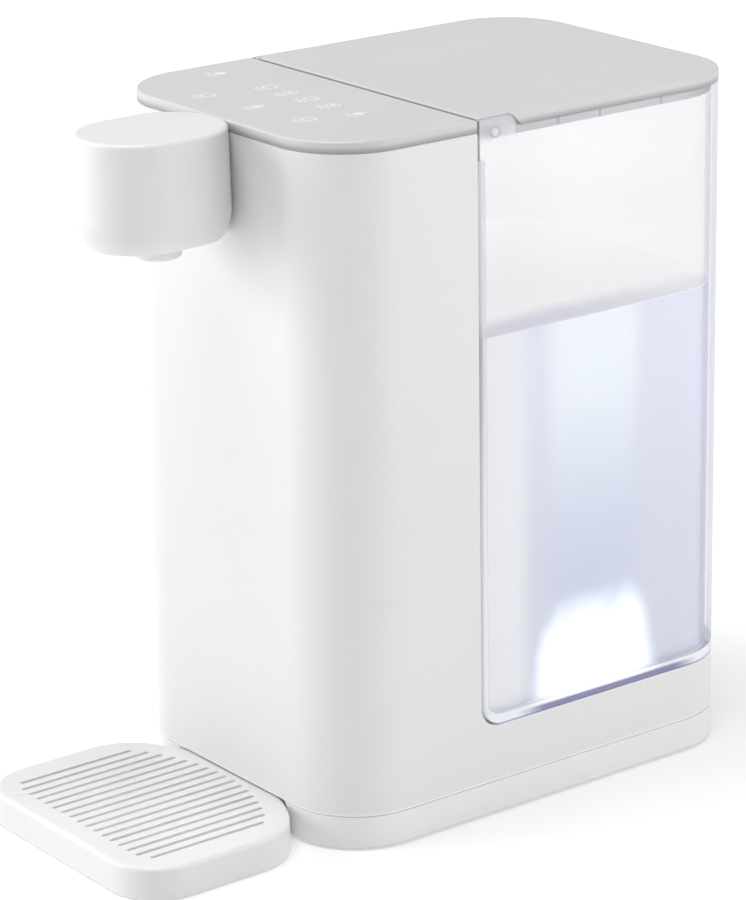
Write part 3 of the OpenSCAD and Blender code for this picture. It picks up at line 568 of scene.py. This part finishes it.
def clear_wall(colours, sizes):
    """Clear tank plastic.

    Its body is faintly lavender, and denser along its floor, its front wall and its round rear
    corners. A painted glow stands for the lamp's light in its lower edge and front wall; painted shade
    darkens where its sole lies on the deck.
    """
    f = Finish("clear_wall", ior=1.49, specular_ior_level=0.5)
    at = f.place()
    _, y, z = f.axes(at)
    front, back, floor = TANK_LOW.y, TANK_HIGH.y, TANK_LOW.z
    wave = f.noise(at, scale=22.0, detail=1.0, stretch=(1.0, 1.0, 0.4))
    grain = f.noise(at, scale=900.0)
    turn = f.node("LayerWeight", None, {"Blend": 0.35}, "Facing")
    dense = f.ease(turn, 0.4, 0.95)

    # Depth inside the tank's outline in side view, which is round at the lower front
    corner = sizes.tank_corner
    ahead = (y - (front + corner)).least(0.0)
    below = (z - (floor + corner)).least(0.0)
    deep = corner - f.radius(ahead, below)

    # The wall seen edge on, thicker along the sole, with a line along each of its faces
    sole = f.fall(z, floor + 4.5 * MM, floor + 9.0 * MM)
    thick = sizes.tank_wall + 1.6 * MM * sole
    wall = f.fall(deep - thick, 0.0, 0.5 * MM)
    wall = wall * f.fall(z, EAR_FOOT - EAR_BLUR, EAR_FOOT + EAR_BLUR)
    outer = f.fall(abs(deep - 0.3 * MM), 0.1 * MM, 0.5 * MM)
    inner = f.fall(abs(deep - sizes.tank_wall), 0.1 * MM, 0.5 * MM, 0.9) * (1.0 - sole)
    line = outer.most(inner) * (0.5 + 0.5 * sole)

    # The front edge of the ears
    rim = f.fall(y, front + 0.4 * MM, front + 0.9 * MM)
    rim = rim * f.ease(z, EAR_FOOT - EAR_BLUR, EAR_FOOT + EAR_BLUR)

    # Painted shade on the stretch where the sole lies on the deck, and a painted glow for the lamp's
    # light in the wall
    along = f.ease(y, front + 17.0 * MM, front + 36.0 * MM)
    along = along * f.fall(y, back - 42.0 * MM, back - 24.0 * MM)
    seat = sole * along * f.fall(deep, 2.2 * MM, 3.8 * MM)
    nearby = f.ease(abs(y - LAMP.y), 18.0 * MM, 44.0 * MM, 1.0, 0.25)
    painted_sole_glow = sole * wall * (1.0 - seat) * nearby
    painted_wall_glow = wall * (1.0 - sole) * f.fall(z, floor + 50 * MM, floor + 200 * MM, 0.28)

    # The band beside the lid's skirt, the ears in it, and the bends of the rear corners
    brow = f.ease(z, LINER_LOW.z - 0.2 * MM, LINER_LOW.z + 0.2 * MM)
    ear = brow * f.fall(y, LINER_LOW.y + 14.0 * MM, LINER_LOW.y + 15.0 * MM)
    bend = f.ease(y, back - 24.5 * MM, back - 17.5 * MM)
    bend = bend * f.fall(y, back - 14.0 * MM, back - 9.0 * MM) * f.ease(turn, 0.06, 0.15)

    tint = f.mix(brow, colours.tank, colours.liner)
    tint = f.mix(bend * 0.7, tint, colours.tank_edge)
    edge_on = f.mix(seat, shade(colours.tank, 0.97), shade(colours.tank_edge, 0.85))
    tint = f.mix(wall, tint, edge_on)
    tint = f.mix((dense * 0.75).most(line * wall * 0.8), tint, colours.tank_edge)
    f.set(base_color=f.mix(rim * 0.9, tint, EDGE_GREY))

    cover = 0.13 + 0.45 * dense
    solid = f.ease(z, floor + 100 * MM, floor + 200 * MM, 0.88, 0.65)
    for part in (wall * solid, rim * 0.8, bend * 0.42, brow * 0.12, ear * 0.5):
        cover = cover.most(part)
    f.set(alpha=cover + 0.02 * wave)
    f.set(emission_color=f.mix(painted_sole_glow.most(painted_wall_glow), BLACK, colours.glow), emission_strength=0.6)
    f.set(roughness=0.05 + 0.04 * grain)
    f.bump(wave, 0.25 * MM, 0.3)
    return f.material


def clear_skirt(colours):
    """Clear frame under the lid, cloudy where walls lie close together, with dark ribs and painted
    shade along its top under the lid
    """
    f = Finish("clear_skirt", ior=1.49, specular_ior_level=0.5)
    at = f.place()
    x, _, z = f.axes(at)
    wave = f.noise(at, scale=60.0)
    grain = f.noise(at, scale=900.0)
    rib = f.ease(abs(x), LINER_HIGH.x - 0.14 * MM, LINER_HIGH.x - 0.06 * MM)
    # Painted shade along the top of the skirt, under the lid's edge
    close = f.ease(z, LID_LOW.z - 1.3 * MM, LID_LOW.z - 0.5 * MM)
    cloudy = f.mix(wave, shade(colours.liner, 0.74), shade(colours.liner, 0.8))
    f.set(base_color=f.mix(rib.most(close * 0.5), cloudy, EDGE_GREY))
    f.set(alpha=(0.85 + 0.1 * wave).most(rib))
    f.set(roughness=0.12 + 0.06 * grain)
    f.bump(wave, 0.1 * MM, 0.3)
    return f.material


def milky_pin(colours):
    """Milky pins of the lid, with a greyer rim round the middle of their ends"""
    f = Finish("milky_pin", ior=1.49)
    at = f.place()
    _, y, z = f.axes(at)
    haze = f.noise(at, scale=300.0)
    ring = f.ease(f.radius(y - PIN.y, z - PIN.z), 1.2 * MM, 1.8 * MM)
    middle = f.mix(haze, (0.64, 0.64, 0.67), (0.7, 0.7, 0.73))
    f.set(base_color=f.mix(ring, middle, shade(colours.liner, 0.7)))
    f.set(roughness=0.25 + 0.1 * haze)
    f.bump(haze, 0.03 * MM, 0.4)
    return f.material


def lit_water(colours, sizes):
    """Water with painted light from the lamp under the tank: a painted bright shaft and glow above the
    lamp, bluer to the sides
    """
    f = Finish("lit_water", ior=1.33, specular_ior_level=0.5)
    at = f.place()
    x, y, z = f.axes(at)
    floor = TANK_LOW.z + sizes.tank_wall
    surface = sizes.water_level
    ripple = f.noise(at, scale=30.0, stretch=(1.0, 1.0, 0.25))
    haze = f.noise(at, scale=55.0, detail=3.0)
    stray = haze - 0.5

    # Painted light: the shaft of light above the lamp and the water beside it, painted paler towards
    # the front wall
    off = abs(x - LAMP.x).least(abs(y - LAMP.y)) + 6.0 * MM * (ripple - 0.5)
    shaft = f.fall(off, 18.0 * MM, 30.0 * MM)
    rise = f.ease(z, floor + 50 * MM, surface - 12 * MM)
    front = f.fall(y, TANK_LOW.y + 20.0 * MM, TANK_LOW.y + 34.0 * MM)
    side = f.mix(rise, shade(colours.water, 0.93), shade(colours.water, 1.05))
    side = f.mix(front * 0.9, side, (0.96, 0.965, 0.98))
    body = f.mix(shaft, side, f.mix(rise, (0.66, 0.715, 0.88), colours.glow))

    # The surface, painted pale and glowing, with a bluer and less bright band along the wall
    top = f.ease(z, surface - 0.6 * MM, surface - 0.4 * MM)
    brim = f.ease(x + 10.0 * MM * stray, TANK_HIGH.x - 30.0 * MM, TANK_HIGH.x - 11.0 * MM)
    brim = brim * f.ease(y, LAMP.y - 10 * MM, LAMP.y + 75 * MM, 1.0, 0.5)
    body = f.mix(top, body, f.mix(brim, (0.96, 0.96, 0.965), shade(colours.water, 0.85)))
    f.set(base_color=body, roughness=0.08 + 0.05 * ripple)

    # Painted glow: the bright patch over the lamp, the glowing surface and a faint glow throughout
    up = z - floor
    pool = f.fall(off + 0.18 * up + 8.0 * MM * stray, 25.0 * MM, 40.0 * MM)
    pool = pool * f.fall(up + 14.0 * MM * stray, 22.0 * MM, 52.0 * MM)
    lit = pool.most(top * (0.66 - 0.26 * brim)).most(0.05 + shaft * rise * 0.08)
    painted_glow_tint = f.mix(top, colours.glow, f.mix(brim, (1.0, 0.99, 0.995), (0.93, 0.92, 1.0)))
    f.set(emission_color=f.mix(lit, BLACK, painted_glow_tint), emission_strength=0.8)
    f.bump(ripple, 0.15 * MM, 0.3)
    return f.material


def lamp_lens(colours):
    """Frosted lens of the tank lamp, brightest in its middle"""
    f = Finish("lamp_lens", roughness=0.6)
    at = f.place()
    x, y, _ = f.axes(at)
    frost = f.noise(at, scale=1800.0)
    off = abs(x - LAMP.x).most(abs(y - LAMP.y))
    core = f.ease(off, 2.0 * MM, 9.0 * MM, 1.0, 0.35)
    f.set(base_color=f.mix(frost, (0.78, 0.86, 0.97), (0.88, 0.94, 1.0)))
    f.set(emission_color=f.mix(core, (0.15, 0.2, 0.3), colours.glow), emission_strength=1.4)
    f.bump(frost, 0.03 * MM, 0.6)
    return f.material


def matt_rubber(name, colour):
    """Moulded rubber with a chalky bloom"""
    f = Finish(name, ior=1.5, specular_ior_level=0.3)
    at = f.place()
    bloom = f.noise(at, scale=260.0, detail=4.0)
    grain = f.noise(at, scale=2200.0)
    f.set(base_color=f.mix(f.ease(bloom, 0.4, 0.7), colour, shade(colour, 1.5)))
    f.set(roughness=0.72 + 0.2 * grain)
    f.bump(grain, 0.04 * MM, 0.6)
    return f.material


def brushed_metal(name, colour, stretch, rough):
    """Metal with fine draw lines along its length"""
    f = Finish(name, metallic=1.0)
    at = f.place()
    line = f.noise(at, scale=900.0, detail=3.0, stretch=stretch)
    tint = f.noise(at, scale=60.0, detail=3.0)
    f.set(base_color=f.mix(line, shade(colour, 0.88), shade(colour, 1.06)))
    f.set(roughness=rough + 0.18 * line + 0.06 * tint)
    f.bump(line, 0.01 * MM, 0.5)
    return f.material


def dark_casing():
    """Dark motor and switch casing, lightly textured"""
    f = Finish("dark_casing", ior=1.5)
    at = f.place()
    grain = f.noise(at, scale=1200.0, detail=3.0)
    rub = f.noise(at, scale=70.0, detail=3.0)
    f.set(base_color=f.mix(rub, (0.16, 0.16, 0.175), (0.24, 0.24, 0.255)))
    f.set(roughness=0.45 + 0.2 * grain)
    f.bump(grain, 0.03 * MM, 0.5)
    return f.material


def green_board():
    """Circuit board: green mask, copper runs under it and pale solder dots"""
    f = Finish("green_board", ior=1.5, coat_weight=0.25)
    at = f.place()
    grid = {"Vector": at, "Scale": 130.0, "Mortar Size": 0.035}
    grid.update({"Color1": BLACK, "Color2": BLACK, "Mortar": (1.0, 1.0, 1.0)})
    runs = f.node("TexBrick", {"offset": 0.37, "squash": 1.0}, grid)
    dots = f.node("TexVoronoi", None, {"Vector": at, "Scale": 210.0}, "Distance")
    pads = f.fall(dots, 0.16, 0.2)
    mask = f.mix(runs, (0.02, 0.17, 0.07), (0.05, 0.28, 0.12))
    f.set(base_color=f.mix(pads, mask, (0.62, 0.62, 0.58)))
    f.set(roughness=0.35 + 0.15 * pads, metallic=pads * 0.7)
    f.bump(dots, 0.02 * MM, 0.3)
    return f.material


def milky_hose():
    """Milky silicone hose"""
    f = Finish("milky_hose", ior=1.41)
    haze = f.noise(f.place(), scale=90.0, detail=3.0)
    f.set(base_color=f.mix(haze, (0.74, 0.75, 0.74), (0.84, 0.85, 0.85)))
    f.set(roughness=0.38 + 0.14 * haze)
    f.bump(haze, 0.05 * MM, 0.4)
    return f.material


def clear_choice():
    """Closes an open mesh and leaves nothing selected."""
    if bpy.context.mode != "OBJECT":
        bpy.ops.object.mode_set(mode="OBJECT")
    bpy.ops.object.select_all(action="DESELECT")


def take(piece):
    """Makes one piece the only one selected."""
    clear_choice()
    piece.select_set(True)
    bpy.context.view_layer.objects.active = piece


def copy_node(node, name):
    """Copies a CAD node to a piece of its own and merges its loose triangles."""
    take(NODES[node])
    bpy.ops.object.duplicate()
    piece = bpy.context.active_object
    piece.name = piece.data.name = name
    piece.parent = None
    for key in [k for k in piece.keys() if k.startswith("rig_")]:
        del piece[key]
    piece.data.materials.clear()
    take(piece)
    bpy.ops.object.mode_set(mode="EDIT")
    bpy.ops.mesh.select_all(action="SELECT")
    bpy.ops.mesh.customdata_custom_splitnormals_clear()
    bpy.ops.mesh.remove_doubles(threshold=WELD)
    bpy.ops.mesh.dissolve_limited(angle_limit=FLAT, delimit=set())
    bpy.ops.object.mode_set(mode="OBJECT")
    return piece


def outward_edges(mesh):
    """The sharp edges that stand out, each with its two ends."""
    sides = {}
    for face in mesh.polygons:
        for key in face.edge_keys:
            sides.setdefault(key, []).append(face)
    for edge in mesh.edges:
        pair = sides.get(edge.key, [])
        if len(pair) == 2 and pair[0].normal.angle(pair[1].normal, 0.0) > SHARP:
            if (pair[1].center - pair[0].center).dot(pair[0].normal) < 0:
                a, b = (mesh.vertices[i].co for i in edge.vertices)
                yield edge, a, b


def soften(piece, rules):
    """Rounds outward edges: the first rule whose test passes gives an edge its radius.

    An edge that meets no other such edge is left sharp.
    """
    mesh = piece.data
    widest = max(radius for test, radius in rules)
    chosen = {}
    for edge, a, b in outward_edges(mesh):
        for test, radius in rules:
            if test(a, b):
                chosen[edge.index] = radius / widest
                break
    ends = {index: tuple(mesh.edges[index].vertices) for index in chosen}
    meeting = Counter(end for pair in ends.values() for end in pair)
    chosen = {i: share for i, share in chosen.items() if max(meeting[end] for end in ends[i]) > 1}
    if not chosen:
        raise RuntimeError(f"no edge of {piece.name} was found to soften")
    weight = mesh.attributes.new("bevel_weight_edge", "FLOAT", "EDGE")
    for index, share in chosen.items():
        weight.data[index].value = share
    take(piece)
    bevel = piece.modifiers.new("soft_edge", "BEVEL")
    bevel.limit_method = "WEIGHT"
    bevel.width = widest
    bevel.segments = ROUND_STEPS
    bevel.use_clamp_overlap = False
    bevel.miter_outer = "MITER_ARC"
    bpy.ops.object.modifier_apply(modifier=bevel.name)
    smooth(piece)
    return piece


def smooth(piece, angle=30):
    """Shades a piece smooth where its faces meet below an angle in degrees."""
    take(piece)
    bpy.ops.object.shade_smooth_by_angle(angle=math.radians(angle))
    even = piece.modifiers.new("even_normals", "WEIGHTED_NORMAL")
    even.keep_sharp = True
    bpy.ops.object.modifier_apply(modifier=even.name)


def settle(piece, body, material, slot, *nodes):
    """Gives a finished piece its material and body and hides the CAD nodes that it stands for; its
    slot is not used.
    """
    piece.data.materials.clear()
    piece.data.materials.append(material)
    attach(piece, body)
    if nodes:
        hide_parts(*nodes)
    clear_choice()


def dress(material, *nodes):
    """Gives CAD nodes that stay as they are a finer material."""
    for node in nodes:
        NODES[node].data.materials.clear()
        NODES[node].data.materials.append(material)


def level(z):
    """A test for edges that lie at one height."""
    return lambda a, b: abs(a.z - z) < NEAR and abs(b.z - z) < NEAR


def anywhere(a, b):
    """Passes every edge."""
    return True


def above_base(a, b):
    """The edges of the housing well above the base."""
    return min(a.z, b.z) > PAN_HIGH.z + BASE_CLEAR


def slot_edge(a, b):
    """The top edges of the drip tray's slots, which keep clear of its rear corners."""
    in_corner = abs(a.x) > CORNER_SIDE and a.y > TRAY_HIGH.y - CORNER_DEPTH
    return abs(a.x) < SLOT_REACH and not in_corner and level(TRAY_HIGH.z)(a, b)


def off_ear_foot(a, b):
    """Leaves out the small edges where an ear stands on the tank's round corner."""
    middle = (a + b) / 2
    return abs(middle.z - EAR_FOOT) > NEAR or abs(middle.x) < TANK_HIGH.x / 2


class DISPENSER_OT_shells(bpy.types.Operator):
    """Softens the white mouldings of the body, base and spout"""

    bl_idname = "dispenser.shells"
    bl_label = "White shells"

    def execute(self, context):
        look = context.scene.dispenser
        edge = look.sizes.edge
        white = white_moulding(look.colours)
        paler = white_moulding(look.colours, "base_moulding", BASE_PAINTED_LIGHT)
        for node, name, finish, rules in (
            ("main_housing", "housing_shell", white, [(level(SHELL_LOW.z), edge), (above_base, edge)]),
            ("base_pan", "base_shell", paler, [(level(PAN_LOW.z), 2 * edge), (anywhere, 0.6 * edge)]),
            ("spout_head", "spout_shell", white, [(level(HEAD_LOW.z), edge)]),
            ("nozzle", "nozzle_ring", white, [(anywhere, 0.8 * edge)]),
        ):
            piece = soften(copy_node(node, name), rules)
            settle(piece, "root", finish, "white_shell", node)
        dress(white, "tank_cradle", "spout_floor")
        return {"FINISHED"}


class DISPENSER_OT_tray(bpy.types.Operator):
    """Softens the slotted drip tray"""

    bl_idname = "dispenser.tray"
    bl_label = "Drip tray"

    def execute(self, context):
        look = context.scene.dispenser
        edge = look.sizes.edge
        white = white_moulding(look.colours, "tray_moulding", slotted=True)
        cover = copy_node("drip_cover", "tray_cover")
        soften(cover, [(slot_edge, 0.6 * edge), (level(TRAY_LOW.z), edge)])
        settle(cover, "tray", white, "white_shell", "drip_cover")
        dress(white, "drip_pan")
        return {"FINISHED"}


class DISPENSER_OT_panels(bpy.types.Operator):
    """Softens the grey touch panel and the lid"""

    bl_idname = "dispenser.panels"
    bl_label = "Grey panels"

    def execute(self, context):
        look = context.scene.dispenser
        touch = grey_lacquer("touch_lacquer", look.colours, TOUCH_MARKS)
        plain = grey_lacquer("lid_lacquer", look.colours)
        for node, name, body, lacquer in (
            ("top_panel", "touch_panel", "root", touch),
            ("lid_panel", "tank_lid", "lid", plain),
        ):
            panel = soften(copy_node(node, name), [(anywhere, 0.7 * look.sizes.edge)])
            settle(panel, body, lacquer, "grey_panel", node)
        return {"FINISHED"}


class DISPENSER_OT_tank(bpy.types.Operator):
    """Clear tank with its edges softened, and the finishes of the lid's liner and pins"""

    bl_idname = "dispenser.tank"
    bl_label = "Clear tank"

    def execute(self, context):
        look = context.scene.dispenser
        clear = clear_wall(look.colours, look.sizes)
        tank = soften(copy_node("tank_shell", "tank_clear"), [(off_ear_foot, look.sizes.edge)])
        settle(tank, "tank", clear, "clear_tank", "tank_shell")
        dress(clear_skirt(look.colours), "lid_liner")
        dress(milky_pin(look.colours), "lid_hinge_pins")
        return {"FINISHED"}


class DISPENSER_OT_water(bpy.types.Operator):
    """Water that fills the tank to its level, made from the tank's inner faces"""

    bl_idname = "dispenser.water"
    bl_label = "Water"

    def execute(self, context):
        look = context.scene.dispenser
        surface = (0.0, 0.0, look.sizes.water_level)
        wall = look.sizes.tank_wall - NEAR
        low = TANK_LOW + Vector((wall, wall, wall))
        high = TANK_HIGH - Vector((wall, wall, 0.0))
        water = copy_node("tank_shell", "tank_water")
        bpy.ops.object.mode_set(mode="EDIT")
        bpy.ops.mesh.select_mode(type="FACE")
        bpy.ops.mesh.select_all(action="SELECT")
        bpy.ops.mesh.bisect(plane_co=surface, plane_no=(0, 0, 1), clear_outer=True, use_fill=False)
        bpy.ops.mesh.select_all(action="DESELECT")
        bpy.ops.object.mode_set(mode="OBJECT")
        for face in water.data.polygons:
            ends = [water.data.vertices[i].co for i in face.vertices]
            face.select = not all(low[k] < end[k] < high[k] for end in ends for k in range(3))
        bpy.ops.object.mode_set(mode="EDIT")
        bpy.ops.mesh.delete(type="FACE")
        bpy.ops.mesh.select_all(action="SELECT")
        bpy.ops.mesh.fill_holes(sides=0)
        bpy.ops.mesh.select_all(action="SELECT")
        bpy.ops.mesh.normals_make_consistent(inside=False)
        bpy.ops.transform.shrink_fatten(value=-look.sizes.water_gap, use_even_offset=True)
        bpy.ops.object.mode_set(mode="OBJECT")
        if not water.data.polygons:
            raise RuntimeError("no inner face of the tank was found for the water")
        smooth(water, angle=40)
        settle(water, "tank", lit_water(look.colours, look.sizes), None)
        return {"FINISHED"}


class DISPENSER_OT_works(bpy.types.Operator):
    """Finishes of the lamp, the dock, the valve and the works inside"""

    bl_idname = "dispenser.works"
    bl_label = "Works"

    def execute(self, context):
        lens = lamp_lens(context.scene.dispenser.colours)
        inner = inner_moulding()
        rubber = matt_rubber("black_rubber", (0.035, 0.035, 0.038))
        seal = matt_rubber("grey_seal", (0.27, 0.28, 0.30))
        steel = brushed_metal("bright_steel", (0.66, 0.67, 0.69), (1.0, 1.0, 0.15), rough=0.2)
        drawn = brushed_metal("drawn_aluminium", (0.74, 0.75, 0.77), (1.0, 1.0, 0.05), rough=0.3)
        dress(lens, "tank_lamp")
        dress(inner, "spout_neck", "spout_nut", "dock_seat", "dock_pin", "valve_body", "valve_plunger")
        dress(rubber, "feet", "cord_gland", "pump_mount")
        dress(seal, "dock_seal", "valve_seal")
        dress(steel, "base_screws", "outlet_pipe", "heater_brackets", "valve_spring")
        dress(drawn, "heater")
        dress(dark_casing(), "pump", "thermostats")
        dress(green_board(), "touch_board", "power_board")
        dress(milky_hose(), "inlet_hose", "pump_hose")
        return {"FINISHED"}


class DISPENSER_OT_stage(bpy.types.Operator):
    """Floor, soft lights and camera"""

    bl_idname = "dispenser.stage"
    bl_label = "Stage"

    def execute(self, context):
        scene = context.scene
        look = scene.dispenser.stage
        clear_choice()
        bpy.ops.mesh.primitive_plane_add(size=FLOOR_SIZE, location=(0, 0, 0))
        floor = bpy.context.active_object
        floor.name = floor.data.name = "studio_floor"
        f = Finish("studio_floor", roughness=0.85, specular_ior_level=0.1)
        at = f.place()
        f.set(base_color=f.mix(f.noise(at, scale=3.0), shade(look.floor, 0.99), look.floor))
        away = f.ease(f.length(at), FLOOR_NEAR, FLOOR_FAR)
        f.set(emission_color=f.mix(away, FLOOR_DIM, FLOOR_BRIGHT), emission_strength=1.0)
        floor.data.materials.append(f.material)

        world = bpy.data.worlds.new("studio")
        scene.world = world
        world.use_nodes = True
        sky = world.node_tree.nodes["Background"]
        sky.inputs["Color"].default_value = (1.0, 1.0, 1.0, 1.0)
        sky.inputs["Strength"].default_value = look.sky

        for name, place, size, power in SOFT_LIGHTS:
            turn = (Vector(LIGHT_AIM) - Vector(place)).to_track_quat("-Z", "Y").to_euler()
            bpy.ops.object.light_add(type="AREA", location=place, rotation=turn)
            light = bpy.context.active_object
            light.name = light.data.name = name
            light.data.shape = "SQUARE"
            light.data.size = size
            light.data.energy = getattr(look, power)

        eye, target = Vector(look.eye), Vector(look.aim)
        back = (eye - target).normalized()
        right = Vector((0, 0, 1)).cross(back).normalized()
        up = back.cross(right)
        c, s = math.cos(look.roll), math.sin(look.roll)
        turn = Matrix((right * c + up * s, up * c - right * s, back)).transposed()
        bpy.ops.object.camera_add(location=eye, rotation=turn.to_euler())
        camera = bpy.context.active_object
        camera.data.lens = look.lens
        camera.data.sensor_width = FRAME_WIDTH
        camera.data.sensor_fit = "AUTO"
        camera.data.clip_end = SIGHT
        scene.camera = camera
        scene.view_settings.view_transform = "Standard"
        clear_choice()
        return {"FINISHED"}


class DISPENSER_PT_pieces(bpy.types.Panel):
    """Lists the steps that dress the dispenser, and the values that they use"""

    bl_label = "Hot water dispenser"
    bl_idname = "DISPENSER_PT_pieces"
    bl_space_type = "VIEW_3D"
    bl_region_type = "UI"
    bl_category = "Dispenser"

    def draw(self, context):
        look = context.scene.dispenser
        for step in STEPS:
            self.layout.operator(step.bl_idname)
        for group in (look.sizes, look.colours, look.stage):
            box = self.layout.box()
            for name in group.__annotations__:
                box.prop(group, name)


STEPS = (
    DISPENSER_OT_stage,
    DISPENSER_OT_shells,
    DISPENSER_OT_tray,
    DISPENSER_OT_panels,
    DISPENSER_OT_water,
    DISPENSER_OT_tank,
    DISPENSER_OT_works,
)
GROUPS = (DispenserSizes, DispenserColours, DispenserStage, DispenserLook)
CLASSES = (*GROUPS, *STEPS, DISPENSER_PT_pieces)


def register():
    """Makes the classes and the scene's values known to Blender."""
    for part in CLASSES:
        bpy.utils.register_class(part)
    bpy.types.Scene.dispenser = bpy.props.PointerProperty(type=DispenserLook)


def unregister():
    """Takes the values and the classes away again."""
    del bpy.types.Scene.dispenser
    for part in reversed(CLASSES):
        bpy.utils.unregister_class(part)


def main():
    """Runs every step in order."""
    register()
    for step in STEPS:
        group, name = step.bl_idname.split(".")
        getattr(getattr(bpy.ops, group), name)()


if __name__ == "__main__":
    main()
